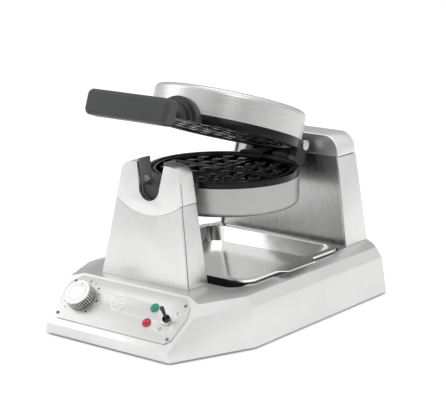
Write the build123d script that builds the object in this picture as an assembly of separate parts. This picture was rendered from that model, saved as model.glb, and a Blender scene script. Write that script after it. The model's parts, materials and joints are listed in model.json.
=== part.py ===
"""Rotating waffle maker with a tapered base, two towers and a pair of round hinged plates.

Machine coordinates in mm: X to the right seen from the front, Y from the base's front edge towards
the rear, Z up from the base's lower edge. At the end everything moves so that the origin is at the
bottom centre of the whole object. The lid is built shut and then opened about its hinge pin.
"""
from build123d import *
import math
import os

# Base housing: outline at the lower edge, then the levels of its drafted and hipped sides.
BASE_HALF = 127.0
BASE_FRONT_HALF = 87.4
TAPER_END_Y = 97.1
SIDE_END_Y = 358.8
REAR_HALF = 104.0
REAR_Y = 373.0
SHOULDER = (42.0, 6.5)
APRON_EDGE = (53.4, 14.0)
PLATEAU = (58.0, 31.0)
SKIRT_Z = 11.2
SLOPE_END_Y = 50.0
WALL = 2.5
FOOT_DROP = 2.5

TOP_Z = PLATEAU[0]
SLOPE = math.atan2(TOP_Z - SKIRT_Z, SLOPE_END_Y)
TAPER = math.atan2(BASE_HALF - BASE_FRONT_HALF, TAPER_END_Y)

# Towers: half-widths at the plateau, side draft, leaning front faces, upright rear faces.
TOWER_TOP = 186.5
SIDE_DRAFT = 0.1795
SHEET = 2.0
FRONT_HALF = 61.4
FRONT_Y0 = 64.0
FRONT_LEAN = 0.098
FRONT_REAR_Y = 99.0
FRONT_SEAM_Z = 146.0
FRONT_SEAM_DIP = 15.5
REAR_TOWER_HALF = 94.7
REAR_TOWER_Y0 = 320.0
REAR_LEAN = 0.0645
REAR_TOWER_Y1 = 365.0
REAR_SEAM_Z = 162.0
GAP = 0.6

# Turning head: axis along Y, round plates, parting plane just above the axis.
AXIS_Z = 159.5
PLATE_Y = 204.5
PAN_R = 87.5
PAN_WALL = 1.5
LOWER_PAN = (122.5, 155.2)
UPPER_PAN = (173.5, 205.1)
LOWER_RIM_Z = 162.4
UPPER_RIM_Z = 163.1
PAN_EDGE = 6.0
JOURNAL_R = 13.0
SADDLE_R = 13.3
NOTCH_HALF = 20.3
NOTCH_Z = 160.5
COLLAR_STEPS = ((22.0, 101.5, 107.0), (26.0, 107.0, 112.0), (30.0, 112.0, 124.0))

# Handle: a cross bar in front of the tower, and the neck that joins it to the journal.
BAR_HALF = 56.5
BAR_Y = (26.0, 44.5)
BAR_Z = (147.0, 175.4)
NECK_END_Y = 70.0
NECK_WIDE = (27.0, 149.5, 173.0)
NECK_NARROW = (15.0, 153.5, 178.0)

# Lid hinge, behind the plates, and the lid's opening at rest.
HINGE_Y = 312.5
HINGE_Z = 174.5
PIN_R = 3.5
EYE_R = 8.0
LID_REST = 19.0
RUNNING = 0.05

# Drip tray and its well.
WELL = (95.5, 101.0, 312.0, 14.0)
WELL_FLOOR = 38.0
TRAY = (98.0, 115.0, 310.0, 24.0)
TRAY_RIM_Z = 62.0
TRAY_FLOOR = 44.0

# Panel fittings: places on the slope, across and up it.
KNOB_AT = (-57.5, 38.0)
KNOB_R = 16.4
KNOB_TOP = 12.5
READY_AT = (41.5, 46.0)
POWER_AT = (41.5, 27.0)
TOGGLE_AT = (65.0, 35.5)
PANEL_T = 1.5
PANEL_CORNERS = ((76.0, 8.0), (82.5, 14.0), (87.2, 43.0), (83.5, 55.5), (73.0, 65.0))
TOGGLE_LEAN = 15.0

FEET = [(sx * x, y) for x, y in ((78.0, 42.0), (104.0, 330.0)) for sx in (-1, 1)]


def prism_xz(points, y0, y1):
    """Outline in X and Z, extruded along Y."""
    plane = Plane(origin=(0, y0, 0), x_dir=(1, 0, 0), z_dir=(0, -1, 0))
    return extrude(plane * make_face(Polyline(*points, close=True)), -(y1 - y0))


def prism_yz(points, x0, x1):
    """Outline in Y and Z, extruded along X."""
    plane = Plane(origin=(x0, 0, 0), x_dir=(0, 1, 0), z_dir=(1, 0, 0))
    return extrude(plane * make_face(Polyline(*points, close=True)), x1 - x0)


def cyl_x(r, x0, x1, y, z):
    return Pos((x0 + x1) / 2, y, z) * Rot(0, 90, 0) * Cylinder(r, x1 - x0)


def cyl_y(r, y0, y1, x=0.0, z=AXIS_Z):
    return Pos(x, (y0 + y1) / 2, z) * Rot(90, 0, 0) * Cylinder(r, y1 - y0)


def cyl_z(r, z0, z1, x=0.0, y=PLATE_Y):
    return Pos(x, y, (z0 + z1) / 2) * Cylinder(r, z1 - z0)


def block(x0, x1, y0, y1, z0, z1):
    return Pos((x0 + x1) / 2, (y0 + y1) / 2, (z0 + z1) / 2) * Box(x1 - x0, y1 - y0, z1 - z0)


def slab(half, y0, y1, radius, z0, z1):
    """Rounded rectangle, symmetrical in X, extruded in Z."""
    face = Pos(0, (y0 + y1) / 2, z0) * RectangleRounded(2 * half, y1 - y0, radius)
    return extrude(face, z1 - z0)


def on_slope(across, up, height=0.0):
    """Frame on the sloping panel face, with local Z square to it."""
    normal = (0, -math.sin(SLOPE), math.cos(SLOPE))
    plane = Plane(origin=(0, 0, SKIRT_Z), x_dir=(1, 0, 0), z_dir=normal)
    return plane.location * Pos(across, up, height)


def slope_cylinder(at, r, h0, h1):
    return on_slope(*at, (h0 + h1) / 2) * Cylinder(r, h1 - h0)


# Base ---------------------------------------------------------------------------------------


def base_section(z, inset):
    """One level of the base: front, taper end, side end and rear corners, mirrored in X."""
    right = [
        (BASE_FRONT_HALF - inset / math.cos(TAPER), 0),
        (BASE_HALF - inset, TAPER_END_Y + inset * math.tan(TAPER / 2)),
        (BASE_HALF - inset, SIDE_END_Y - 0.2 * inset),
        (REAR_HALF - 0.3 * inset, REAR_Y - 0.24 * inset),
    ]
    left = [(-x, y) for x, y in reversed(right)]
    return Pos(0, 0, z) * make_face(Polyline(*right, *left, close=True))


def base_form(skin):
    """The base as a closed form, with its surface moved in by skin."""
    bottom = 0.0 if skin == 0 else -1.0
    levels = [(bottom, 0.0), SHOULDER, APRON_EDGE, PLATEAU]
    sections = [base_section(z - (skin if i else 0), inset + skin) for i, (z, inset) in enumerate(levels)]
    form = Solid.make_loft([section.face().outer_wire() for section in sections], True)
    lower = skin / math.cos(SLOPE)
    rise = math.tan(SLOPE)
    far = 90.0
    wedge = [(-20, SKIRT_Z - lower - 20 * rise), (far, SKIRT_Z - lower + far * rise), (-20, 200)]
    form -= prism_yz(wedge, -150, 150)
    return form - block(-150, 150, -20, skin, -20, 200)


def base_housing():
    housing = base_form(0) - base_form(WALL)
    housing -= slab(*WELL, WELL_FLOOR, TOP_Z + 5)
    for at, r in ((KNOB_AT, 4.0), (READY_AT, 4.0), (POWER_AT, 4.0), (TOGGLE_AT, 4.6)):
        housing -= slope_cylinder(at, r, -12, 5)
    housing -= cyl_y(8.0, 350, 380, 62, 26)
    housing -= cyl_y(10.0, 330, 350, 0, 20)
    for x in (-30, 30):
        housing -= cyl_z(5.0, 50, 62, x, 84)
        housing -= cyl_z(6.0, 50, 62, x, 344)
    return housing


def base_bottom_plate():
    section = base_section(0.4, WALL + 0.6)
    plate = extrude(section, 1.6) & block(-140, 140, WALL + 0.6, 380, 0, 5)
    for x, y in FEET:
        plate -= cyl_z(2.1, -1, 4, x, y)
    for i in range(7):
        plate -= block(-30, 30, 180 + 9 * i, 184 + 9 * i, -1, 4)
    return plate


def rubber_foot(x, y):
    foot = cyl_z(9.0, -FOOT_DROP, 0.4, x, y)
    foot = fillet(foot.edges().group_by(Axis.Z)[0], 1.0)
    return foot - cyl_z(4.5, -3, -0.6, x, y) - cyl_z(2.0, -1, 1, x, y)


def foot_screw(x, y):
    return cyl_z(4.3, -2.2, -0.6, x, y) + cyl_z(1.9, -0.6, 9, x, y)


def control_panel():
    points = list(PANEL_CORNERS) + [(-x, y) for x, y in reversed(PANEL_CORNERS)]
    plate = on_slope(0, 0) * extrude(make_face(Polyline(*points, close=True)), PANEL_T)
    for at, r in ((KNOB_AT, 4.0), (READY_AT, 4.0), (POWER_AT, 4.0), (TOGGLE_AT, 4.6)):
        plate -= slope_cylinder(at, r, -1, 5)
    return plate


def panel_screws():
    places = [(sx * x, y) for x, y in ((77.5, 14.0), (78.0, 56.0)) for sx in (-1, 1)]
    screws = []
    for at in places:
        dome = on_slope(*at, PANEL_T) * (Sphere(3.2) & Pos(0, 0, 5) * Box(10, 10, 10))
        screws.append(dome & slope_cylinder(at, 4, 0, PANEL_T + 1.3))
    return screws


def thermostat_body():
    x, y = KNOB_AT
    body = on_slope(x, y, -18) * Box(30, 34, 20)
    return body + slope_cylinder(KNOB_AT, 3.9, -8, PANEL_T)


def knob_shaft():
    return slope_cylinder(KNOB_AT, 2.5, PANEL_T + 0.1, KNOB_TOP - 3)


def knob():
    skirt = slope_cylinder(KNOB_AT, KNOB_R, PANEL_T + 0.6, KNOB_TOP - 1.5)
    for i in range(36):
        turn = math.radians(10 * i)
        spot = (KNOB_AT[0] + KNOB_R * math.cos(turn), KNOB_AT[1] + KNOB_R * math.sin(turn))
        skirt -= slope_cylinder(spot, 0.9, 0, 20)
    bored = skirt - slope_cylinder(KNOB_AT, 2.5, 0, KNOB_TOP - 3)
    return bored - slope_cylinder(KNOB_AT, KNOB_R - 3.5, 0, 5)


def knob_cap():
    cap = slope_cylinder(KNOB_AT, KNOB_R - 1.3, KNOB_TOP - 1.5, KNOB_TOP)
    pointer = on_slope(KNOB_AT[0], KNOB_AT[1] + 10, KNOB_TOP + 0.2) * Box(1.4, 6.5, 0.4)
    return cap + pointer


def lamp_lens(at):
    dome = on_slope(*at, PANEL_T - 1.9) * Sphere(5.8)
    lens = dome & slope_cylinder(at, 8, PANEL_T, 20)
    return lens + slope_cylinder(at, 3.9, -4, PANEL_T)


def lamp_body(at):
    return slope_cylinder(at, 5.0, -20, -4)


def toggle_body():
    x, y = TOGGLE_AT
    return on_slope(x, y, -17) * Box(13, 26, 22) + slope_cylinder(TOGGLE_AT, 4.5, -6, 5.5)


def bored_toggle_body():
    return toggle_body() - slope_cylinder(TOGGLE_AT, 3.6, -2, 6)


def toggle_nut():
    x, y = TOGGLE_AT
    nut = on_slope(x, y, PANEL_T) * extrude(RegularPolygon(7.0, 6), 2.4)
    return nut - slope_cylinder(TOGGLE_AT, 4.5, 0, 6)


def toggle_lever():
    x, y = TOGGLE_AT
    stick = Pos(0, 0, 8.5) * Cone(1.3, 2.4, 15) + Pos(0, 0, 16) * Sphere(2.4) + Sphere(2.2)
    return on_slope(x, y, 3.0) * Rot(-TOGGLE_LEAN, 0, 0) * stick


def terminal_block():
    base = block(30, 80, 318, 336, 8, 24)
    for i in range(4):
        base -= cyl_z(2.0, 14, 30, 37 + 12 * i, 327)
    return base


def wiring_cover():
    """Steel cover over the wiring that runs from the terminals up into the rear tower."""
    return block(-40, 20, 325, 360, 30, 31.5) + block(-40, -38.5, 325, 360, 2.2, 30)


def cord_gland():
    collar = cyl_y(8.0, 366, 379, 62, 26) + cyl_y(10.5, 373, 376, 62, 26)
    return collar - cyl_y(4.2, 360, 385, 62, 26)


def well_opening():
    half, y0, y1, radius = WELL
    outer = slab(half - 0.3, y0 + 0.3, y1 - 0.3, radius, WELL_FLOOR, TOP_Z - 0.8)
    return outer - slab(half - 1.5, y0 + 1.5, y1 - 1.5, radius - 1, WELL_FLOOR + 1.2, TOP_Z)


def tray_rests():
    top = TRAY_FLOOR
    return [cyl_z(7.0, WELL_FLOOR + 1.2, top, sx * 55, y) for sx in (-1, 1) for y in (155, 270)]


def drip_tray():
    """Pressed steel bowl with a rolled rim and a finger lip on the right."""
    half, y0, y1, radius = TRAY
    rim = 7.0
    draft = 9.0
    wall = 1.2

    def bowl(skin, z0, z1):
        mouth = Pos(0, (y0 + y1) / 2, z1)
        floor = Pos(0, (y0 + y1) / 2, z0)
        wide, deep = 2 * (half - rim - skin), y1 - y0 - 2 * (rim + skin)
        top = mouth * RectangleRounded(wide, deep, radius - rim)
        low = floor * RectangleRounded(wide - 2 * draft, deep - 2 * draft, radius - rim - 2)
        return loft([low, top])

    form = bowl(0, TRAY_FLOOR, TRAY_RIM_Z - 1) - bowl(wall, TRAY_FLOOR + wall, TRAY_RIM_Z)
    flange = slab(half, y0, y1, radius, TRAY_RIM_Z - 1, TRAY_RIM_Z)
    curl = slab(half, y0, y1, radius, TRAY_RIM_Z - 2.6, TRAY_RIM_Z - 1)
    curl -= slab(half - 1.2, y0 + 1.2, y1 - 1.2, radius - 1.2, TRAY_RIM_Z - 3, TRAY_RIM_Z)
    inner = slab(half - rim - wall, y0 + rim + wall, y1 - rim - wall, radius - rim, 50, 70)
    lip_out = 11.0
    lip = [(half - 1, 172), (half + lip_out, 184), (half + lip_out, 234), (half - 1, 246)]
    tab = extrude(Pos(0, 0, TRAY_RIM_Z - 1) * make_face(Polyline(*lip, close=True)), 1)
    return form + (flange - inner) + curl + tab


# Towers -------------------------------------------------------------------------------------


def tower_half(base_half, z):
    return base_half - SIDE_DRAFT * (z - TOP_Z)


def tower_form(base_half, y0, lean, y1, corner, skin, z0):
    """Tapered tower with rounded upper corners, its surface moved in by skin."""
    top = TOWER_TOP - skin
    points = [
        (tower_half(base_half, z0) - skin, z0),
        (tower_half(base_half, top) - skin, top),
        (-tower_half(base_half, top) + skin, top),
        (-tower_half(base_half, z0) + skin, z0),
    ]
    plane = Plane(origin=(0, y0 - 5, 0), x_dir=(1, 0, 0), z_dir=(0, -1, 0))
    face = make_face(Polyline(*points, close=True))
    upper = face.vertices().group_by(Axis.Y)[-1]
    face = fillet(upper, corner - skin)
    form = extrude(plane * face, -(y1 - skin - y0 + 5))
    low = z0 - 10
    y_low = y0 + skin + lean * (low - TOP_Z)
    y_high = y0 + skin + lean * (TOWER_TOP + 10 - TOP_Z)
    lead = [(y_low, low), (y_high, TOWER_TOP + 10), (y0 - 40, TOWER_TOP + 10), (y0 - 40, low)]
    return form - prism_yz(lead, -150, 150)


def front_form(skin, z0=TOP_Z):
    return tower_form(FRONT_HALF, FRONT_Y0, FRONT_LEAN, FRONT_REAR_Y, 14.0, skin, z0)


def rear_form(skin, z0=TOP_Z):
    return tower_form(REAR_TOWER_HALF, REAR_TOWER_Y0, REAR_LEAN, REAR_TOWER_Y1, 20.0, skin, z0)


def leaning_layer(y0, lean, near, far):
    """Layer parallel to a leaning front face, from near to far behind it."""
    low, high = TOP_Z - 10, TOWER_TOP + 10
    y_low, y_high = y0 + lean * (low - TOP_Z), y0 + lean * (high - TOP_Z)
    corners = [(y_low + near, low), (y_high + near, high), (y_high + far, high), (y_low + far, low)]
    return prism_yz(corners, -150, 150)


def seam_below():
    """Everything under the front tower's seam, which dips in an arc across the front."""
    half = tower_half(FRONT_HALF, FRONT_SEAM_Z)
    arc = ThreePointArc((-half, FRONT_SEAM_Z), (0, FRONT_SEAM_Z - FRONT_SEAM_DIP), (half, FRONT_SEAM_Z))
    ends = [(half, FRONT_SEAM_Z), (100, FRONT_SEAM_Z), (100, 0), (-100, 0), (-100, FRONT_SEAM_Z)]
    rest = Polyline(*ends, (-half, FRONT_SEAM_Z))
    plane = Plane(origin=(0, FRONT_Y0 - 20, 0), x_dir=(1, 0, 0), z_dir=(0, -1, 0))
    return extrude(plane * make_face(arc + rest), -70)


def front_tower_plate():
    plate = front_form(0) & leaning_layer(FRONT_Y0, FRONT_LEAN, 0, 2.5) & seam_below()
    trim = tower_half(FRONT_HALF, TOP_Z) + 1
    for side in (-1, 1):
        edge = [
            (side * (tower_half(FRONT_HALF, TOP_Z) - GAP), TOP_Z - 1),
            (side * (tower_half(FRONT_HALF, TOWER_TOP) - GAP), TOWER_TOP),
            (side * trim, TOWER_TOP),
            (side * trim, TOP_Z - 1),
        ]
        plate -= prism_xz(edge, FRONT_Y0 - 5, FRONT_REAR_Y)
    return plate


def front_tower_shell():
    """Sides and rear wall of the front tower, below the seam."""
    form = front_form(0) & block(-100, 100, 0, 200, TOP_Z, FRONT_SEAM_Z - GAP / 2)
    form -= front_form(SHEET, TOP_Z - 5)
    form -= leaning_layer(FRONT_Y0, FRONT_LEAN, -5, 2.5 + GAP)
    return form


def notch(half_top, half_low, centre_z, top):
    """U outline for the saddle: straight flared sides and a round floor."""
    arc = ThreePointArc((-half_low, centre_z), (0, centre_z - half_low), (half_low, centre_z))
    sides = Polyline((half_low, centre_z), (half_top, top), (-half_top, top), (-half_low, centre_z))
    return make_face(arc + sides)


def notch_cut(half_top, half_low, centre_z, top, y0, y1):
    plane = Plane(origin=(0, y0, 0), x_dir=(1, 0, 0), z_dir=(0, -1, 0))
    return extrude(plane * notch(half_top, half_low, centre_z, top), -(y1 - y0))


def front_tower_cap():
    """Cast cap: front face above the dipping seam, sides, top and rear, cut by the saddle notch."""
    cap = front_form(0) - front_form(3.0, TOP_Z - 5)
    lid = cap - block(-100, 100, 0, 200, TOP_Z - 1, FRONT_SEAM_Z + GAP / 2)
    face = cap & leaning_layer(FRONT_Y0, FRONT_LEAN, 0, 2.5)
    face -= Pos(0, 0, GAP / 2) * seam_below()
    apron = tower_half(FRONT_HALF, FRONT_SEAM_Z) - GAP - 1
    face &= block(-apron, apron, 0, 200, 100, FRONT_SEAM_Z + 5)
    cap = lid + face
    cap -= notch_cut(NOTCH_HALF, 14.2, NOTCH_Z, TOWER_TOP + 6, 55, 110)
    return cap - notch_cut(NOTCH_HALF, 16.2, NOTCH_Z, TOWER_TOP + 6, 77.5, 110)


def saddle_liner():
    """Plastic saddle that carries the head's front journal."""
    outer = notch_cut(NOTCH_HALF - 0.4, 15.8, NOTCH_Z, TOWER_TOP + 6, 79.0, 96.8)
    outer &= block(-30, 30, 60, 120, 100, TOWER_TOP + 3.5)
    inner = notch_cut(17.4, SADDLE_R, AXIS_Z, TOWER_TOP + 10, 60, 120)
    return outer - inner


def saddle_post():
    """Steel post inside the front tower, under the saddle."""
    web = block(-14, 14, 82, 94, TOP_Z, NOTCH_Z - 16.0)
    web -= block(-11, 11, 80, 96, TOP_Z + 4, 138)
    return web + block(-24, 24, 78, 95, TOP_Z, TOP_Z + 3)


def rear_tower_shell():
    form = rear_form(0) & block(-100, 100, 300, 370, TOP_Z, REAR_SEAM_Z - GAP / 2)
    form -= rear_form(SHEET, TOP_Z - 5)
    opening = [(tower_half(REAR_TOWER_HALF, z) - 3.5, z) for z in (TOP_Z - 2, TOWER_TOP)]
    opening += [(-x, z) for x, z in reversed(opening)]
    return form - prism_xz(opening, 300, 340)


def rear_tower_panel():
    """Flat front panel, set in between the side walls."""
    layer = leaning_layer(REAR_TOWER_Y0, REAR_LEAN, 3.0, 4.5)
    panel = rear_form(SHEET + 0.1) & layer & block(-100, 100, 300, 370, TOP_Z + 0.2, REAR_SEAM_Z - 0.3)
    return panel - cyl_y(14.5, 300, 360)


def rear_tower_cap():
    cap = rear_form(0) - rear_form(3.0, TOP_Z - 5)
    cap &= block(-100, 100, 300, 370, REAR_SEAM_Z + GAP / 2, TOWER_TOP + 1)
    return cap - cyl_y(18.0, 300, 345)


def bearing_housing():
    """Flanged housing behind the panel, held down to the base by a foot."""
    y0 = 333.0
    ring = cyl_y(24.0, y0, 350) + block(-40, 40, y0, y0 + 4, 100, AXIS_Z)
    ring += block(-40, 40, y0, 352, TOP_Z, TOP_Z + 4) + block(-18, 18, y0, y0 + 4, TOP_Z, 100)
    return ring - cyl_y(16.0, 320, 360)


def bearing_bush():
    return cyl_y(16.0, 331.8, 350) - cyl_y(JOURNAL_R + RUNNING, 320, 360)


def shaft_retainer():
    return cyl_y(18.0, 350.6, 354) - cyl_y(JOURNAL_R, 340, 360)


# Turning head -------------------------------------------------------------------------------


def pan(z0, z1, closed_low):
    """Drawn cup with a rounded edge round its closed end."""
    cup = cyl_z(PAN_R, z0, z1)
    cup = fillet(cup.edges().group_by(Axis.Z)[0 if closed_low else -1], PAN_EDGE)
    low, high = (z0 + PAN_WALL, z1 + 1) if closed_low else (z0 - 1, z1 - PAN_WALL)
    hollow = cyl_z(PAN_R - PAN_WALL, low, high)
    hollow = fillet(hollow.edges().group_by(Axis.Z)[0 if closed_low else -1], PAN_EDGE - PAN_WALL)
    return cup - hollow


def grid_studs():
    """Square studs in the four quadrants between the crossing ridges."""
    pitch, size, first = 21.0, 13.2, 13.6
    places = []
    for i in range(3):
        for j in range(3):
            x, y = first + pitch * i, first + pitch * j
            if math.hypot(x + size / 2, y + size / 2) < 75.0:
                places += [(sx * x, sy * y) for sx in (-1, 1) for sy in (-1, 1)]
    return [Pos(x, y) * Rectangle(size, size) for x, y in places]


def grid_plate():
    """Cooking plate in its own frame: parting plane at Z 0, pockets below it."""
    floor, back = -12.5, -15.5
    rim, seat = PAN_R - 0.4, -7.0
    profile = [
        (0, back), (PAN_R - PAN_WALL - 0.5, back), (PAN_R - PAN_WALL - 0.5, seat), (rim, seat),
        (rim, 0), (83.0, 0), (82.0, -5.0), (80.0, -5.0), (79.0, -0.6), (76.6, -0.6),
        (75.4, floor), (0, floor),
    ]
    plate = revolve(Plane.XZ * make_face(Polyline(*profile, close=True)), Axis.Z)
    for angle in (0, 90):
        ridge = Pos(0, 0, floor) * Rot(0, 0, angle) * Rectangle(152, 5.5)
        plate += extrude(ridge, 11.2, taper=8)
    for stud in grid_studs():
        plate += extrude(Pos(0, 0, floor) * stud, 10.8, taper=9)
    return plate


def lower_grid():
    return Pos(0, PLATE_Y, LOWER_RIM_Z) * grid_plate()


def upper_grid():
    extra = UPPER_PAN[0] - UPPER_RIM_Z - 7.0
    grid = Pos(0, PLATE_Y, UPPER_RIM_Z) * Rot(180, 0, 0) * grid_plate()
    ring = cyl_z(PAN_R - 0.4, UPPER_RIM_Z + 6.9, UPPER_RIM_Z + 6.9 + extra)
    return grid + (ring - cyl_z(PAN_R - 4, UPPER_RIM_Z, UPPER_RIM_Z + 20))


def heater(z):
    ring = Pos(0, PLATE_Y, z) * Torus(56, 3.4)
    tails = [cyl_y(3.4, PLATE_Y + 54, PLATE_Y + 78, x, z) for x in (-8, 8)]
    return ring + tails[0] + tails[1]


def pan_screws(z0, z1, head_low):
    head = (z0 - 1.6, z0) if head_low else (z1, z1 + 1.6)
    screws = []
    for i in range(3):
        turn = math.radians(90 + 120 * i)
        x, y = 40 * math.cos(turn), PLATE_Y + 40 * math.sin(turn)
        screws.append(cyl_z(4.0, *head, x, y) + cyl_z(1.9, z0, z1, x, y))
    return screws


def screw_holes(z0, z1):
    holes = []
    for i in range(3):
        turn = math.radians(90 + 120 * i)
        holes.append(cyl_z(1.9, z0, z1, 40 * math.cos(turn), PLATE_Y + 40 * math.sin(turn)))
    return holes


def lower_pan():
    cup = pan(*LOWER_PAN, True) - cyl_y(8.0, 270, 300, 0, 140.6)
    return cup - screw_holes(LOWER_PAN[0] - 1, LOWER_PAN[0] + 5)


def upper_pan():
    cup = pan(*UPPER_PAN, False) - cyl_y(5.0, 270, 300, 0, 190)
    return cup - screw_holes(UPPER_PAN[1] - 5, UPPER_PAN[1] + 1)


def collar_rings():
    rings = cyl_y(COLLAR_STEPS[0][0], *COLLAR_STEPS[0][1:])
    for r, y0, y1 in COLLAR_STEPS[1:]:
        rings += cyl_y(r, y0, y1)
    for r, y0, y1 in COLLAR_STEPS[:2]:
        groove = cyl_y(r + 1, y1 - 1.6, y1) - cyl_y(r - 2.2, y1 - 1.6, y1)
        rings -= groove
    return rings


def lower_collar():
    solid = collar_rings() + cyl_y(JOURNAL_R, 80.0, 102)
    solid &= block(-60, 60, 60, 200, 100, LOWER_RIM_Z - 0.1)
    return solid - cyl_z(PAN_R, 100, 200)


def upper_collar():
    solid = collar_rings() + cyl_y(JOURNAL_R - 0.5, NECK_END_Y, 102)
    solid &= block(-60, 60, 60, 200, UPPER_RIM_Z + 0.1, 220)
    return solid - cyl_z(PAN_R, 100, 240)


def handle_bar():
    """Cross bar with rounded corners and softly rounded edges."""
    middle = (BAR_Z[0] + BAR_Z[1]) / 2
    plane = Plane(origin=(0, BAR_Y[0], middle), x_dir=(1, 0, 0), z_dir=(0, -1, 0))
    outline = RectangleRounded(2 * BAR_HALF, BAR_Z[1] - BAR_Z[0], 7.0)
    bar = extrude(plane * outline, -(BAR_Y[1] - BAR_Y[0]))
    return fillet(bar.edges().group_by(Axis.Y)[0] + bar.edges().group_by(Axis.Y)[-1], 4.0)


def handle():
    """Hand grip: the cross bar, and a neck that narrows towards the journal."""
    def section(y, half, z0, z1):
        plane = Plane(origin=(0, y, (z0 + z1) / 2), x_dir=(1, 0, 0), z_dir=(0, -1, 0))
        return plane * RectangleRounded(2 * half, z1 - z0, 9.0)

    neck = loft([section(NECK_END_Y, *NECK_NARROW), section(BAR_Y[1] - 6, *NECK_WIDE)])
    return handle_bar() + neck - cyl_y(3.0, BAR_Y[0] + 8, NECK_END_Y + 10, 0, 168)


def handle_bolt():
    return cyl_y(3.0, BAR_Y[0] + 8, NECK_END_Y, 0, 168)


def hinge_bracket():
    """Casting behind the lower pan: hollow shaft for the rear bearing, and two hinge ears."""
    body = block(-37, 37, 280, 305, 136, 165)
    body = fillet(body.edges().filter_by(Axis.Y), 5.0)
    body += block(-22, 22, 300, 322.5, 142, 165.2) + cyl_y(JOURNAL_R, 322, 356)
    for side in (-1, 1):
        x0, x1 = sorted((side * 27.0, side * 37.0))
        ear = cyl_x(EYE_R, x0, x1, HINGE_Y, HINGE_Z) + prism_yz(
            [(296, 150), (313, 150), (320, HINGE_Z), (305, HINGE_Z + 2), (296, 164)], x0, x1)
        body += ear
    body -= cyl_x(PIN_R, -40, 40, HINGE_Y, HINGE_Z)
    return body - cyl_z(PAN_R + 0.02, 100, 200) - cyl_y(8.0, 270, 360)


def hinge_pin():
    pin = cyl_x(PIN_R, -37, 37, HINGE_Y, HINGE_Z)
    for side in (-1, 1):
        x0, x1 = sorted((side * 37.0, side * 40.5))
        pin += cyl_x(6.0, x0, x1, HINGE_Y, HINGE_Z)
    return pin


def lid_hinge_arm():
    """Lid side of the hinge: two eyes on the pin, joined to a pad on the upper pan's wall."""
    pad = block(-25, 25, 284, 298, 178, 198)
    arm = pad
    for side in (-1, 1):
        x0, x1 = sorted((side * 15.0, side * 26.0))
        arm += cyl_x(EYE_R, x0, x1, HINGE_Y, HINGE_Z)
        arm += prism_yz([(295, 178), (306, 170), (318, 180), (300, 198), (295, 198)], x0, x1)
    arm -= cyl_x(PIN_R + RUNNING, -40, 40, HINGE_Y, HINGE_Z)
    return arm - cyl_z(PAN_R + 0.02, 100, 240)


def lid_spring_sleeve():
    """Friction sleeve on the pin between the lid's eyes."""
    return cyl_x(6.0, -14.5, 14.5, HINGE_Y, HINGE_Z) - cyl_x(PIN_R, -20, 20, HINGE_Y, HINGE_Z)


# Assembly -----------------------------------------------------------------------------------


def static_nodes():
    return {
        "base_housing": base_housing(),
        "base_bottom_plate": base_bottom_plate(),
        "rubber_feet": [rubber_foot(x, y) for x, y in FEET],
        "foot_screws": [foot_screw(x, y) for x, y in FEET],
        "control_panel": control_panel(),
        "panel_screws": panel_screws(),
        "thermostat_body": thermostat_body(),
        "ready_lamp_lens": lamp_lens(READY_AT),
        "ready_lamp_body": lamp_body(READY_AT),
        "power_lamp_lens": lamp_lens(POWER_AT),
        "power_lamp_body": lamp_body(POWER_AT),
        "toggle_switch_body": bored_toggle_body(),
        "toggle_nut": toggle_nut(),
        "terminal_block": terminal_block(),
        "wiring_cover": wiring_cover(),
        "cord_gland": cord_gland(),
        "tray_well": well_opening(),
        "tray_rests": tray_rests(),
        "front_tower_plate": front_tower_plate(),
        "front_tower_shell": front_tower_shell(),
        "front_tower_cap": front_tower_cap(),
        "saddle_liner": saddle_liner(),
        "saddle_post": saddle_post(),
        "rear_tower_shell": rear_tower_shell(),
        "rear_tower_panel": rear_tower_panel(),
        "rear_tower_cap": rear_tower_cap(),
        "bearing_housing": bearing_housing(),
        "bearing_bush": bearing_bush(),
    }


def moving_nodes():
    return {
        "knob": knob(),
        "knob_cap": knob_cap(),
        "knob_shaft": knob_shaft(),
        "toggle_lever": toggle_lever(),
        "drip_tray": drip_tray(),
        "lower_pan": lower_pan(),
        "lower_grid": lower_grid(),
        "lower_heater": heater(LOWER_RIM_Z - 15.5 - 3.5),
        "lower_pan_screws": pan_screws(LOWER_PAN[0], LOWER_RIM_Z - 15.6, True),
        "lower_collar": lower_collar(),
        "hinge_bracket": hinge_bracket(),
        "hinge_pin": hinge_pin(),
        "shaft_retainer": shaft_retainer(),
        "friction_sleeve": lid_spring_sleeve(),
    }


def lid_nodes():
    shut = {
        "upper_pan": upper_pan(),
        "upper_grid": upper_grid(),
        "upper_heater": heater(UPPER_RIM_Z + 15.5 + 3.5),
        "upper_pan_screws": pan_screws(UPPER_RIM_Z + 15.6, UPPER_PAN[1], False),
        "upper_collar": upper_collar(),
        "handle": handle(),
        "handle_bolt": handle_bolt(),
        "lid_hinge_arm": lid_hinge_arm(),
    }
    opened = Pos(0, HINGE_Y, HINGE_Z) * Rot(-LID_REST, 0, 0) * Pos(0, -HINGE_Y, -HINGE_Z)
    return {name: moved(shape, opened) for name, shape in shut.items()}


def moved(shape, place):
    if isinstance(shape, list):
        return [place * item for item in shape]
    return place * shape


def as_solids(shape):
    items = shape if isinstance(shape, list) else [shape]
    return [solid for item in items for solid in item.solids()]


def main():
    os.makedirs("parts", exist_ok=True)
    nodes = {**static_nodes(), **moving_nodes(), **lid_nodes()}
    box = Compound(children=[s for shape in nodes.values() for s in as_solids(shape)]).bounding_box()
    shift = (-(box.min.X + box.max.X) / 2, -(box.min.Y + box.max.Y) / 2, -box.min.Z)
    print("shift", [round(v, 4) for v in shift], "size", [round(v, 2) for v in box.size])
    for name, shape in nodes.items():
        solids = [Pos(*shift) * solid for solid in as_solids(shape)]
        export_step(solids[0] if len(solids) == 1 else Compound(children=solids), f"parts/{name}.step")
    print(len(nodes), "nodes")


main()
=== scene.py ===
"""Looks of the rotating waffle maker: studio, camera, materials and fine pieces round the CAD frame."""
import json
import math

import bmesh
import bpy
from mathutils import Matrix, Vector

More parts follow.
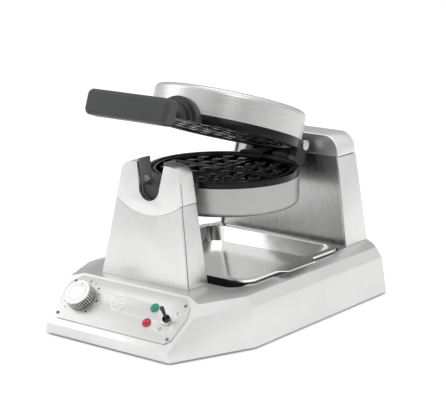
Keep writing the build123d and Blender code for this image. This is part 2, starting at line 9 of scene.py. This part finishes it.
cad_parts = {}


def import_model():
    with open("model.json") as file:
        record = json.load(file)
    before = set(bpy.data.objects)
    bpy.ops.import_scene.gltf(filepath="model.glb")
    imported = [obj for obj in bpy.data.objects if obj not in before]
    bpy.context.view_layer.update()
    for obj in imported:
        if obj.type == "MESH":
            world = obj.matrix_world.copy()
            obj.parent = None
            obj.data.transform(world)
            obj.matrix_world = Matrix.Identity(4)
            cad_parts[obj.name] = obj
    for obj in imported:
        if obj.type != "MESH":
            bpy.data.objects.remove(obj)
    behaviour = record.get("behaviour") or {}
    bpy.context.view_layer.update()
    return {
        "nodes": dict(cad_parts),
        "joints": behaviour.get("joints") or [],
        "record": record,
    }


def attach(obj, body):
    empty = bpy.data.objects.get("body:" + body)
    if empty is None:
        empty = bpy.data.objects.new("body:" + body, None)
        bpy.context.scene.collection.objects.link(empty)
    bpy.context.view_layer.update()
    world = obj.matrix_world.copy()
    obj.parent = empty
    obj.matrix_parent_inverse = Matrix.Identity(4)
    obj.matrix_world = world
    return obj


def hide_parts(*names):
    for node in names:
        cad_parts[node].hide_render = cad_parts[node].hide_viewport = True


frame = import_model()
NODES = frame["nodes"]
JOINTS = {joint["name"]: joint for joint in frame["joints"]}
MM = 0.001

# Camera: turn from the front towards the machine's right, height angle, aim point and lens.
AZIMUTH = 37.6
ELEVATION = 13.56
DISTANCE = 1.8037
AIM = Vector((0.0035, 0.0108, 0.1177))
LENS = 127.3
SENSOR = 36.0

# The world's brightness, low and high up, and two dark cards: direction, the cosines at which
# each starts and is full, and the share of the light it leaves.
SKY_LEVELS = (1.02, 1.25)
DARK_CARDS = (
    ((0.60, -0.78, 0.15), 0.80, 0.98, 0.30),
    ((-0.55, 0.80, 0.22), 0.75, 0.96, 0.5),
)
# Area lights: name, place, aim, size and power.
AREA_LIGHTS = (
    ("key", (1.6, -1.3, 1.7), (0, 0, 0.1), 1.4, 10),
    ("left", (-1.8, -0.9, 1.2), (0, 0, 0.12), 1.3, 7),
    ("top", (0.0, 0.3, 2.2), (0, 0, 0), 1.8, 9),
)
FLOOR_HALF = 14
FLOOR_GLOW = 0.12

LID_TILT = math.radians(19.0)

# The machine's millimetre axes in the frame, and the front tower's outline in them.
FRONT_SHIFT = 189.5
FOOT_RISE = 2.5
TOWER_HALF = 61.4
TOWER_DRAFT = 0.1795
TOWER_FACE_Y = 64.0
TOWER_LEAN = 0.098
TOWER_FOOT_Z = 58.0
# The knob's axis on the panel: across from the middle, and up the slope.
KNOB_U = 57.5
KNOB_V = 38.0
# The saddle's half width at the height where its walls start to open, and how fast they open.
SADDLE_HALF = 13.3
SADDLE_Z = 159.5
SADDLE_DRAFT = 0.1108
# Marks on the panel, in millimetres: height of the print, dial and emblem radius, grid spacing.
PRINT_THICK = 0.12
DIAL_R = 21.5
SWITCH_RING_R = 1.7
EMBLEM_R = 9.0
EMBLEM_PITCH = 3.6
# Where the thin black strip of painted shade for the cap's shut line runs: its heights, and its distances
# back from the tower's face.
GROOVE_Z = (146.6, 170.5)
GROOVE_Y = (2.4, 3.1)


# Shader helpers -------------------------------------------------------------------------------


def new_material(name):
    """Empty material with a principled shader on its output."""
    material = bpy.data.materials.new(name)
    material.use_nodes = True
    tree = material.node_tree
    tree.nodes.clear()
    output = tree.nodes.new("ShaderNodeOutputMaterial")
    shader = tree.nodes.new("ShaderNodeBsdfPrincipled")
    tree.links.new(shader.outputs[0], output.inputs[0])
    return material, tree, shader


def coordinates(tree, scale, turn=(0, 0, 0)):
    """Object coordinates, turned and then stretched."""
    source = tree.nodes.new("ShaderNodeTexCoord")
    turned = tree.nodes.new("ShaderNodeMapping")
    turned.inputs["Rotation"].default_value = turn
    stretched = tree.nodes.new("ShaderNodeMapping")
    stretched.inputs["Scale"].default_value = scale
    tree.links.new(source.outputs["Object"], turned.inputs[0])
    tree.links.new(turned.outputs[0], stretched.inputs[0])
    return stretched.outputs[0]


def noise(tree, vector, scale=1.0, detail=4.0, rough=0.55):
    """Grey noise over the coordinates."""
    node = tree.nodes.new("ShaderNodeTexNoise")
    node.inputs["Scale"].default_value = scale
    node.inputs["Detail"].default_value = detail
    node.inputs["Roughness"].default_value = rough
    tree.links.new(vector, node.inputs["Vector"])
    return node.outputs["Fac"]


def ramp(tree, value, low, high, out_low, out_high):
    """Value mapped from low..high to out_low..out_high."""
    node = tree.nodes.new("ShaderNodeMapRange")
    node.inputs["From Min"].default_value = low
    node.inputs["From Max"].default_value = high
    node.inputs["To Min"].default_value = out_low
    node.inputs["To Max"].default_value = out_high
    tree.links.new(value, node.inputs["Value"])
    return node.outputs[0]


def colour_mix(tree, factor, first, second):
    """Colour between two, by the factor."""
    node = tree.nodes.new("ShaderNodeMix")
    node.data_type = "RGBA"
    node.inputs[6].default_value = (*first, 1)
    node.inputs[7].default_value = (*second, 1)
    tree.links.new(factor, node.inputs[0])
    return node.outputs[2]


def bump(tree, shader, height, strength, distance):
    """Surface relief from a height."""
    node = tree.nodes.new("ShaderNodeBump")
    node.inputs["Strength"].default_value = strength
    node.inputs["Distance"].default_value = distance
    tree.links.new(height, node.inputs["Height"])
    tree.links.new(node.outputs[0], shader.inputs["Normal"])


def brushed(name, dark, light, rough, grain, turn=(0, 0, 0), depth=0.25):
    """Brushed metal: long grain lines, with cloudy changes of tone and fine scratches."""
    material, tree, shader = new_material(name)
    lines = noise(tree, coordinates(tree, grain, turn), 1.0, 6.0, 0.7)
    clouds = noise(tree, coordinates(tree, (9, 9, 9), turn), 1.0, 3.0)
    tone = tree.nodes.new("ShaderNodeMath")
    tone.operation = "MULTIPLY_ADD"
    tree.links.new(lines, tone.inputs[0])
    tone.inputs[1].default_value = 0.7
    tree.links.new(ramp(tree, clouds, 0.3, 0.7, -0.1, 0.35), tone.inputs[2])
    tree.links.new(colour_mix(tree, tone.outputs[0], dark, light), shader.inputs["Base Color"])
    tree.links.new(ramp(tree, lines, 0.3, 0.7, rough - 0.06, rough + 0.08), shader.inputs["Roughness"])
    shader.inputs["Metallic"].default_value = 1.0
    bump(tree, shader, lines, depth, 0.00012)
    return material


def cast(name, dark, light, rough, grain=900.0, metallic=1.0):
    """Satin cast or blasted metal with a fine even grain."""
    material, tree, shader = new_material(name)
    fine = noise(tree, coordinates(tree, (grain, grain, grain)), 1.0, 3.0)
    clouds = noise(tree, coordinates(tree, (14, 14, 14)), 1.0, 4.0)
    tree.links.new(colour_mix(tree, clouds, dark, light), shader.inputs["Base Color"])
    tree.links.new(ramp(tree, fine, 0.3, 0.7, rough - 0.05, rough + 0.07), shader.inputs["Roughness"])
    shader.inputs["Metallic"].default_value = metallic
    bump(tree, shader, fine, 0.2, 0.0001)
    return material


def plastic(name, dark, light, rough, grain=1500.0, depth=0.25):
    """Moulded plastic with a fine spark-eroded grain and slight rubbing."""
    material, tree, shader = new_material(name)
    fine = noise(tree, coordinates(tree, (grain, grain, grain)), 1.0, 2.0)
    wear = noise(tree, coordinates(tree, (30, 30, 30)), 1.0, 5.0)
    tree.links.new(colour_mix(tree, wear, dark, light), shader.inputs["Base Color"])
    tree.links.new(ramp(tree, wear, 0.3, 0.7, rough - 0.05, rough + 0.06), shader.inputs["Roughness"])
    bump(tree, shader, fine, depth, 0.00015)
    return material


def lens(name, deep, bright):
    """Translucent indicator lens with a faint faceted glow."""
    material, tree, shader = new_material(name)
    cells = tree.nodes.new("ShaderNodeTexVoronoi")
    cells.inputs["Scale"].default_value = 900
    tree.links.new(coordinates(tree, (1, 1, 1)), cells.inputs["Vector"])
    tree.links.new(colour_mix(tree, cells.outputs["Distance"], deep, bright), shader.inputs["Base Color"])
    shader.inputs["Roughness"].default_value = 0.12
    shader.inputs["Coat Weight"].default_value = 0.6
    shader.inputs["Emission Color"].default_value = (*bright, 1)
    shader.inputs["Emission Strength"].default_value = 0.04
    return material


def axis_space(tree, joint):
    """Object coordinates moved onto a joint: Z along its axis, origin at its place."""
    turn = Vector(joint["axis"]).rotation_difference(Vector((0, 0, 1))).to_euler()
    source = tree.nodes.new("ShaderNodeTexCoord")
    placed = tree.nodes.new("ShaderNodeMapping")
    placed.inputs["Location"].default_value = -(turn.to_matrix() @ Vector(joint["pos_m"]))
    placed.inputs["Rotation"].default_value = turn
    tree.links.new(source.outputs["Object"], placed.inputs[0])
    return placed


def groove_shaded_skirt(name, groove_shade, crest, rough, joint, count):
    """Moulded skirt: bright crests, with painted shade laid dark in the grooves between them, round the
    joint's axis.
    """
    material, tree, shader = new_material(name)
    placed = axis_space(tree, joint)
    angle = tree.nodes.new("ShaderNodeTexGradient")
    angle.gradient_type = "RADIAL"
    tree.links.new(placed.outputs[0], angle.inputs[0])
    steps = tree.nodes.new("ShaderNodeMath")
    steps.operation = "MULTIPLY"
    steps.inputs[1].default_value = count
    tree.links.new(angle.outputs["Fac"], steps.inputs[0])
    fold = tree.nodes.new("ShaderNodeMath")
    fold.operation = "PINGPONG"
    fold.inputs[1].default_value = 0.5
    tree.links.new(steps.outputs[0], fold.inputs[0])
    # Painted shade: the colour falls to the dark groove shade between the crests.
    groove_shade_to_crest = ramp(tree, fold.outputs[0], 0.12, 0.26, 0.0, 1.0)
    grain = noise(tree, coordinates(tree, (800, 800, 800)), 1.0, 3.0)
    tree.links.new(colour_mix(tree, groove_shade_to_crest, groove_shade, crest), shader.inputs["Base Color"])
    tree.links.new(ramp(tree, grain, 0.3, 0.7, rough - 0.05, rough + 0.06), shader.inputs["Roughness"])
    shader.inputs["Metallic"].default_value = 0.85
    bump(tree, shader, grain, 0.1, 0.0001)
    return material


def spun(name, dark, light, rough, joint):
    """Spun metal face: rings about the joint's axis."""
    material, tree, shader = new_material(name)
    placed = axis_space(tree, joint)
    rings = tree.nodes.new("ShaderNodeTexWave")
    rings.wave_type = "RINGS"
    rings.rings_direction = "Z"
    rings.inputs["Scale"].default_value = 30
    rings.inputs["Distortion"].default_value = 0.0
    tree.links.new(placed.outputs[0], rings.inputs["Vector"])
    tree.links.new(colour_mix(tree, rings.outputs["Fac"], dark, light), shader.inputs["Base Color"])
    shader.inputs["Metallic"].default_value = 1.0
    tree.links.new(ramp(tree, rings.outputs["Fac"], 0, 1, rough, rough + 0.12), shader.inputs["Roughness"])
    bump(tree, shader, rings.outputs["Fac"], 0.02, 0.0001)
    return material


def polished(name, tone, rough):
    """Polished steel with faint swirls and handling marks."""
    material, tree, shader = new_material(name)
    swirl = noise(tree, coordinates(tree, (60, 220, 60)), 1.0, 6.0, 0.65)
    low = tuple(c * 0.86 for c in tone)
    tree.links.new(colour_mix(tree, swirl, low, tone), shader.inputs["Base Color"])
    tree.links.new(ramp(tree, swirl, 0.3, 0.7, rough, rough + 0.1), shader.inputs["Roughness"])
    shader.inputs["Metallic"].default_value = 1.0
    bump(tree, shader, swirl, 0.08, 0.0001)
    return material


def coating(name):
    """Black non-stick coating: orange-peel surface and tiny glinting specks."""
    material, tree, shader = new_material(name)
    peel = noise(tree, coordinates(tree, (420, 420, 420)), 1.0, 3.0)
    specks = tree.nodes.new("ShaderNodeTexVoronoi")
    specks.inputs["Scale"].default_value = 700
    tree.links.new(coordinates(tree, (1, 1, 1)), specks.inputs["Vector"])
    fleck = ramp(tree, specks.outputs["Distance"], 0.0, 0.12, 1.0, 0.0)
    tree.links.new(colour_mix(tree, fleck, (0.003, 0.003, 0.003), (0.012, 0.012, 0.012)),
                   shader.inputs["Base Color"])
    shader.inputs["Specular IOR Level"].default_value = 0.22
    tree.links.new(ramp(tree, peel, 0.3, 0.7, 0.15, 0.26), shader.inputs["Roughness"])
    bump(tree, shader, peel, 0.2, 0.0002)
    return material


UP_GRAIN = (500, 500, 9)
SIDE_GRAIN = (7, 7, 700)
STEEL_DARK = (0.62, 0.62, 0.615)
STEEL_LIGHT = (0.78, 0.78, 0.775)

MATERIALS = {
    "steel_body": brushed("brushed_body_steel", STEEL_DARK, STEEL_LIGHT, 0.34, UP_GRAIN),
    "cast_cap": cast("satin_cast_cap", (0.67, 0.67, 0.665), (0.80, 0.80, 0.795), 0.36),
    "panel_face": cast("satin_panel", (0.54, 0.54, 0.535), (0.64, 0.64, 0.635), 0.42, 1600),
    "pan_steel": brushed("brushed_pan_steel", (0.32, 0.32, 0.318), (0.45, 0.45, 0.445), 0.3,
                         SIDE_GRAIN),
    "cast_grid": coating("non_stick_coating"),
    "black_plastic": plastic("black_moulding", (0.018, 0.019, 0.019), (0.036, 0.038, 0.037), 0.42),
    "silver_cap": spun("spun_knob_cap", (0.52, 0.52, 0.515), (0.70, 0.70, 0.69), 0.26,
                       JOINTS["knob_turn"]),
    "polished_steel": polished("polished_steel", (0.90, 0.90, 0.89), 0.09),
    "dark_sheet": cast("dark_sheet", (0.012, 0.012, 0.012), (0.03, 0.03, 0.03), 0.5, 700, 0.0),
    "zinc_steel": brushed("zinc_plate", (0.45, 0.45, 0.46), (0.65, 0.65, 0.66), 0.3, (90, 90, 90)),
    "cast_aluminium": cast("rough_casting", (0.40, 0.40, 0.40), (0.58, 0.58, 0.57), 0.42, 500),
    "bronze": brushed("turned_bronze", (0.42, 0.27, 0.11), (0.62, 0.43, 0.2), 0.3, (300, 20, 300)),
    "heater_sheath": brushed("heater_sheath", (0.16, 0.14, 0.13), (0.33, 0.29, 0.25), 0.42,
                             (120, 120, 120)),
    "rubber": plastic("black_rubber", (0.014, 0.014, 0.014), (0.03, 0.03, 0.03), 0.75, 900, 0.4),
    "switch_body": plastic("switch_moulding", (0.02, 0.02, 0.022), (0.05, 0.05, 0.052), 0.5),
    "green_lens": lens("green_lens", (0.0, 0.10, 0.06), (0.0, 0.30, 0.18)),
    "red_lens": lens("red_lens", (0.22, 0.0, 0.01), (0.52, 0.008, 0.035)),
}
LID_STEEL = brushed("brushed_lid_steel", (0.50, 0.50, 0.495), (0.64, 0.64, 0.635), 0.3, SIDE_GRAIN,
                    (LID_TILT, 0, 0))
PANEL_GREY = brushed("tower_panel_steel", (0.47, 0.47, 0.47), (0.54, 0.54, 0.535), 0.29,
                     (900, 900, 9), depth=0.0)
for banded in (MATERIALS["pan_steel"], LID_STEEL):
    banded.node_tree.nodes["Principled BSDF"].inputs["Anisotropic"].default_value = 0.5
LINER_GREY = plastic("saddle_moulding", (0.10, 0.102, 0.102), (0.15, 0.15, 0.15), 0.38)
# Black for the printed marks, and also for the painted shade of the cap's shut line.
PRINT_AND_GROOVE_SHADE_BLACK = plastic("print_and_groove_shade_black", (0.006, 0.006, 0.006), (0.02, 0.02, 0.02), 0.6)

SLOT_OF = {entry["node"]: entry["material_slot"] for entry in frame["record"]["subparts"]}
BODIES = frame["record"]["behaviour"]["bodies"]
BODY_OF = {node: body for body, nodes in BODIES.items() for node in nodes}
# Near-black finish on the hinge bracket and the lid's hinge arm, which sit in the dark zone behind the
# lid.
DARK_CASTING = cast("near_black_casting", (0.02, 0.02, 0.02), (0.05, 0.05, 0.05), 0.4, 500, 0.3)
# Knob skirt: silver crests with dark painted shade in the grooves.
KNOB_SKIRT_GROOVE_SHADE = groove_shaded_skirt("knob_skirt_painted_groove_shade", (0.02, 0.02, 0.02), (0.66, 0.66, 0.65), 0.3,
                    JOINTS["knob_turn"], 36)
SCREW_STEEL = brushed("dull_screw_steel", (0.12, 0.12, 0.12), (0.30, 0.30, 0.30), 0.35,
                      (300, 300, 300))
OWN_FINISH = {
    "panel_screws": SCREW_STEEL,
    "knob": KNOB_SKIRT_GROOVE_SHADE,
    "hinge_bracket": DARK_CASTING,
    "lid_hinge_arm": DARK_CASTING,
    "upper_pan": LID_STEEL,
    "rear_tower_panel": PANEL_GREY,
    "saddle_liner": LINER_GREY,
}


def finish_of(node):
    """A node's own finish, or else its slot's."""
    return OWN_FINISH.get(node, MATERIALS[SLOT_OF[node]])


def dress(obj, material):
    """Gives an object one material."""
    obj.data.materials.clear()
    obj.data.materials.append(material)


for node_name, node in NODES.items():
    dress(node, finish_of(node_name))


# Piece helpers --------------------------------------------------------------------------------

# Points nearer than WELD metres become one, and facets within FLAT_ANGLE degrees become one face.
WELD = 2e-6
FLAT_ANGLE = 0.6


def add_piece(name, mesh, body, material):
    """New visible piece that rides on a body, with the material it is given."""
    piece = bpy.data.objects.new(name, mesh)
    bpy.context.scene.collection.objects.link(piece)
    dress(piece, material)
    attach(piece, body)
    return piece


def apply_modifiers(piece):
    """Turns a piece's modifiers into its mesh."""
    view = bpy.context.evaluated_depsgraph_get()
    mesh = bpy.data.meshes.new_from_object(piece.evaluated_get(view))
    piece.modifiers.clear()
    old = piece.data
    piece.data = mesh
    bpy.data.meshes.remove(old)


def soften(node_name, width, angle):
    """Stands a copy with rounded edges in for a CAD node."""
    source = NODES[node_name]
    mesh = source.data.copy()
    form = bmesh.new()
    form.from_mesh(mesh)
    bmesh.ops.remove_doubles(form, verts=form.verts, dist=WELD)
    bmesh.ops.dissolve_limit(form, angle_limit=math.radians(FLAT_ANGLE), verts=form.verts,
                             edges=form.edges)
    form.to_mesh(mesh)
    form.free()
    piece = add_piece(node_name + "_soft", mesh, BODY_OF[node_name], finish_of(node_name))
    bevel = piece.modifiers.new("edges", "BEVEL")
    bevel.width = width
    bevel.segments = 3
    bevel.limit_method = "ANGLE"
    bevel.angle_limit = math.radians(angle)
    bevel.use_clamp_overlap = True
    bevel.harden_normals = False
    apply_modifiers(piece)
    shade(piece, angle + 3)
    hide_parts(node_name)


def mesh_of(form, name):
    """Mesh with the form's shape; the form is spent."""
    mesh = bpy.data.meshes.new(name)
    form.to_mesh(mesh)
    form.free()
    return mesh


def shade(piece, angle):
    """Smooth shading that keeps edges sharper than the angle."""
    form = bmesh.new()
    form.from_mesh(piece.data)
    limit = math.radians(angle)
    for face in form.faces:
        face.smooth = True
    for edge in form.edges:
        edge.smooth = len(edge.link_faces) == 2 and edge.calc_face_angle(0) < limit
    form.to_mesh(piece.data)
    form.free()


# Panel marks ----------------------------------------------------------------------------------

KNOB_POS = Vector(JOINTS["knob_turn"]["pos_m"])
PANEL_NORMAL = Vector(JOINTS["knob_turn"]["axis"]).normalized()
PANEL_UP = PANEL_NORMAL.cross(Vector((1, 0, 0)))
PANEL_FACE = 1.5 * MM


def panel_place(across, up):
    """Frame on the panel face, measured from the knob's axis."""
    spot = KNOB_POS + Vector((across, 0, 0)) + up * PANEL_UP + PANEL_FACE * PANEL_NORMAL
    basis = Matrix((Vector((1, 0, 0)), PANEL_UP, PANEL_NORMAL)).transposed()
    return Matrix.Translation(spot) @ basis.to_4x4()


def add_disc(form, place, radius, thick):
    """Flat printed dot, a little narrower at its top."""
    middle = place @ Matrix.Translation((0, 0, thick / 2))
    bmesh.ops.create_cone(form, cap_ends=True, segments=24, radius1=radius,
                          radius2=radius * 0.94, depth=thick, matrix=middle)


def add_bar(form, place, long, wide, thick):
    """Flat bar that stands on the place."""
    size = Matrix.Diagonal((long, wide, thick, 1))
    bmesh.ops.create_cube(form, size=1, matrix=place @ Matrix.Translation((0, 0, thick / 2)) @ size)


def ring_of_bars(form, centre, radius, count, size):
    """Ring of short bars laid end to end round a centre."""
    for i in range(count):
        turn = 2 * math.pi * i / count
        offset = (radius * math.cos(turn), radius * math.sin(turn), 0)
        spot = centre @ Matrix.Translation(offset)
        add_bar(form, spot @ Matrix.Rotation(turn + math.pi / 2, 4, "Z"), *size)


def dial_marks():
    """Setting dots of growing size round the knob, with short ticks between them."""
    form = bmesh.new()
    radius = DIAL_R * MM
    for i in range(7):
        turn = math.radians(225 - 45 * i)
        place = panel_place(radius * math.cos(turn), radius * math.sin(turn))
        add_disc(form, place, (0.75 + 0.09 * i) * MM, PRINT_THICK * MM)
    for i in range(6):
        turn = math.radians(202.5 - 45 * i)
        place = panel_place(radius * math.cos(turn), radius * math.sin(turn))
        tick = place @ Matrix.Rotation(turn, 4, "Z")
        add_bar(form, tick, 2.2 * MM, 0.5 * MM, PRINT_THICK * MM)
    add_piece("dial_marks", mesh_of(form, "dial_marks"), "base", PRINT_AND_GROOVE_SHADE_BLACK)


def switch_marks():
    """Plain on and off symbols: a bar above the switch and a ring below it."""
    form = bmesh.new()
    toggle = Vector(JOINTS["toggle_flip"]["pos_m"]) - KNOB_POS
    across = toggle.x
    up = toggle.dot(PANEL_UP)
    bar = panel_place(across + 8 * MM, up + 10 * MM)
    add_bar(form, bar, 0.7 * MM, 3.6 * MM, PRINT_THICK * MM)
    ring = panel_place(across - 3 * MM, up - 12 * MM)
    ring_of_bars(form, ring, SWITCH_RING_R * MM, 20, (0.62 * MM, 0.5 * MM, PRINT_THICK * MM))
    add_piece("switch_marks", mesh_of(form, "switch_marks"), "base", PRINT_AND_GROOVE_SHADE_BLACK)


def emblem():
    """Plain raised sign in the middle of the panel: a ring with a crossed grid inside."""
    form = bmesh.new()
    centre = panel_place(51 * MM, 4 * MM)
    ring_of_bars(form, centre, EMBLEM_R * MM, 36, (1.75 * MM, 1.1 * MM, 0.35 * MM))
    for off in (-EMBLEM_PITCH, 0.0, EMBLEM_PITCH):
        long = 2 * math.sqrt(EMBLEM_R * EMBLEM_R - off * off) - 2.4
        across = centre @ Matrix.Translation((0, off * MM, 0))
        add_bar(form, across, long * MM, 0.9 * MM, 0.3 * MM)
        upright = centre @ Matrix.Translation((off * MM, 0, 0))
        add_bar(form, upright, 0.9 * MM, long * MM, 0.3 * MM)
    add_piece("emblem", mesh_of(form, "emblem"), "base", MATERIALS["cast_cap"])


def ring_stack(form, place, profile):
    """Turned form from rings of radius and height, closed at both ends."""
    sides = 20
    rings = []
    for radius, height in profile:
        ring = []
        for i in range(sides):
            turn = 2 * math.pi * i / sides
            spot = Vector((radius * math.cos(turn), radius * math.sin(turn), height)) * MM
            ring.append(form.verts.new(place @ spot))
        rings.append(ring)
    for low, high in zip(rings, rings[1:]):
        for i in range(sides):
            j = (i + 1) % sides
            form.faces.new((low[i], low[j], high[j], high[i]))
    form.faces.new(rings[-1])
    form.faces.new(tuple(reversed(rings[0])))


def small_screws():
    """Small domed screws with a sunk centre, in the panel's four corners."""
    form = bmesh.new()
    profile = ((1.9, 0.0), (1.9, 0.3), (1.6, 0.75), (0.95, 1.0), (0.75, 1.0), (0.65, 0.5))
    for across, up in ((77.5, 14.0), (78.0, 56.0)):
        for side in (-1, 1):
            spot = panel_place((side * across + KNOB_U) * MM, (up - KNOB_V) * MM)
            ring_stack(form, spot, profile)
    mesh = mesh_of(form, "small_panel_screws")
    piece = add_piece("small_panel_screws", mesh, "base", SCREW_STEEL)
    shade(piece, 40)
    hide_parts("panel_screws")


def solid_strip(form, near, far):
    """Closed strip between two matching rows of points."""
    first = [form.verts.new(spot) for spot in near]
    second = [form.verts.new(spot) for spot in far]
    form.faces.new(first)
    form.faces.new(tuple(reversed(second)))
    for i in range(len(near)):
        j = (i + 1) % len(near)
        form.faces.new((first[j], first[i], second[i], second[j]))
    bmesh.ops.recalc_face_normals(form, faces=form.faces)


def place_mm(x, y, z):
    """Machine's millimetres, from the base's front edge and underside, in the frame."""
    return Vector((x, y - FRONT_SHIFT, z + FOOT_RISE)) * MM


def tower_side(z):
    """Half width of the front tower at a height."""
    return TOWER_HALF - TOWER_DRAFT * (z - TOWER_FOOT_Z)


def tower_face(z):
    """Place of the front tower's face at a height."""
    return TOWER_FACE_Y + TOWER_LEAN * (z - TOWER_FOOT_Z)


def cap_groove_shade_strips():
    """Painted shade of the shut line: a thin black strip that carries on up the cap's sides, over the seam
    beside the front plate.
    """
    form = bmesh.new()
    low, high = GROOVE_Z
    near_face, far_face = GROOVE_Y
    corners = ((low, near_face), (high, near_face), (high, far_face), (low, far_face))
    for side in (-1, 1):
        near = []
        far = []
        for z, depth in corners:
            near.append(place_mm(side * (tower_side(z) + 0.07), tower_face(z) + depth, z))
            far.append(place_mm(side * (tower_side(z) - 0.2), tower_face(z) + depth, z))
        solid_strip(form, near, far)
    add_piece("cap_groove_shade_strips", mesh_of(form, "cap_groove_shade_strips"), "base", PRINT_AND_GROOVE_SHADE_BLACK)


def saddle_clip():
    """Thin bright leaf on the saddle's left wall."""
    form = bmesh.new()
    near = []
    far = []
    for y, z in ((83.5, 164.0), (93.0, 165.6), (91.0, 167.2), (88.0, 170.5), (83.5, 171.0)):
        wall = SADDLE_HALF + SADDLE_DRAFT * (z - SADDLE_Z)
        near.append(place_mm(-(wall - 0.9), y, z))
        far.append(place_mm(-(wall + 0.3), y, z))
    solid_strip(form, near, far)
    mesh = mesh_of(form, "saddle_clip")
    add_piece("saddle_clip", mesh, "base", MATERIALS["polished_steel"])


dial_marks()
switch_marks()
emblem()
small_screws()
cap_groove_shade_strips()
saddle_clip()

# Node, edge width in millimetres, and the least angle in degrees of an edge that is rounded.
for softened, width, crease in (
    ("base_housing", 1.6, 13), ("front_tower_cap", 1.0, 26), ("front_tower_plate", 0.4, 28),
    ("front_tower_shell", 0.8, 28), ("rear_tower_cap", 1.4, 26), ("rear_tower_shell", 1.0, 28),
    ("control_panel", 0.4, 28), ("saddle_liner", 0.7, 28), ("upper_grid", 0.5, 28),
    ("lower_grid", 0.5, 28), ("hinge_bracket", 0.8, 28), ("lid_hinge_arm", 0.8, 28),
):
    soften(softened, width * MM, crease)


# Studio ---------------------------------------------------------------------------------------


def floor():
    """Pale floor that glows a little, so that it stays nearly white."""
    form = bmesh.new()
    bmesh.ops.create_grid(form, x_segments=1, y_segments=1, size=FLOOR_HALF)
    plane = bpy.data.objects.new("floor", mesh_of(form, "floor"))
    bpy.context.scene.collection.objects.link(plane)
    material, tree, shader = new_material("pale_floor")
    soft = noise(tree, coordinates(tree, (3, 3, 3)), 1.0, 2.0)
    pale = colour_mix(tree, soft, (0.955, 0.955, 0.955), (0.97, 0.97, 0.97))
    tree.links.new(pale, shader.inputs["Base Color"])
    shader.inputs["Roughness"].default_value = 0.9
    shader.inputs["Specular IOR Level"].default_value = 0.1
    shader.inputs["Emission Color"].default_value = (1, 1, 1, 1)
    shader.inputs["Emission Strength"].default_value = FLOOR_GLOW
    plane.data.materials.append(material)


def area_light(name, place, aim, size, power):
    """Square lamp at a place, turned to its aim."""
    data = bpy.data.lights.new(name, "AREA")
    data.energy = power
    data.shape = "RECTANGLE"
    data.size = size
    data.size_y = size
    light = bpy.data.objects.new(name, data)
    bpy.context.scene.collection.objects.link(light)
    light.location = place
    light.rotation_euler = (Vector(aim) - Vector(place)).to_track_quat("-Z", "Y").to_euler()


def dimmed(tree, level, direction, centre, outer, inner, least):
    """Level lowered smoothly round one direction, as by a dark card there."""
    dot = tree.nodes.new("ShaderNodeVectorMath")
    dot.operation = "DOT_PRODUCT"
    tree.links.new(direction, dot.inputs[0])
    dot.inputs[1].default_value = Vector(centre).normalized()
    product = tree.nodes.new("ShaderNodeMath")
    product.operation = "MULTIPLY"
    tree.links.new(level, product.inputs[0])
    tree.links.new(ramp(tree, dot.outputs["Value"], outer, inner, 1.0, least), product.inputs[1])
    return product.outputs[0]


def world():
    """Even studio surround, brighter overhead, with two dark cards."""
    studio = bpy.data.worlds.new("studio")
    bpy.context.scene.world = studio
    studio.use_nodes = True
    tree = studio.node_tree
    tree.nodes.clear()
    output = tree.nodes.new("ShaderNodeOutputWorld")
    source = tree.nodes.new("ShaderNodeTexCoord")
    direction = source.outputs["Generated"]
    split = tree.nodes.new("ShaderNodeSeparateXYZ")
    tree.links.new(direction, split.inputs[0])
    level = ramp(tree, split.outputs["Z"], -0.1, 0.8, *SKY_LEVELS)
    for centre, outer, inner, least in DARK_CARDS:
        level = dimmed(tree, level, direction, centre, outer, inner, least)
    sky = tree.nodes.new("ShaderNodeBackground")
    tree.links.new(level, sky.inputs["Strength"])
    tree.links.new(sky.outputs[0], output.inputs[0])


def camera():
    """Camera at its two angles and its distance from the aim point."""
    data = bpy.data.cameras.new("camera")
    data.lens = LENS
    data.sensor_width = SENSOR
    view = bpy.data.objects.new("camera", data)
    bpy.context.scene.collection.objects.link(view)
    turn = math.radians(AZIMUTH)
    height = math.radians(ELEVATION)
    level = math.cos(height)
    back = Vector((math.sin(turn) * level, -math.cos(turn) * level, math.sin(height)))
    view.location = AIM + back * DISTANCE
    view.rotation_euler = (-back).to_track_quat("-Z", "Y").to_euler()
    bpy.context.scene.camera = view


floor()
for lamp in AREA_LIGHTS:
    area_light(*lamp)
world()
camera()
scene = bpy.context.scene
scene.view_settings.view_transform = "Standard"
scene.view_settings.exposure = 0.0
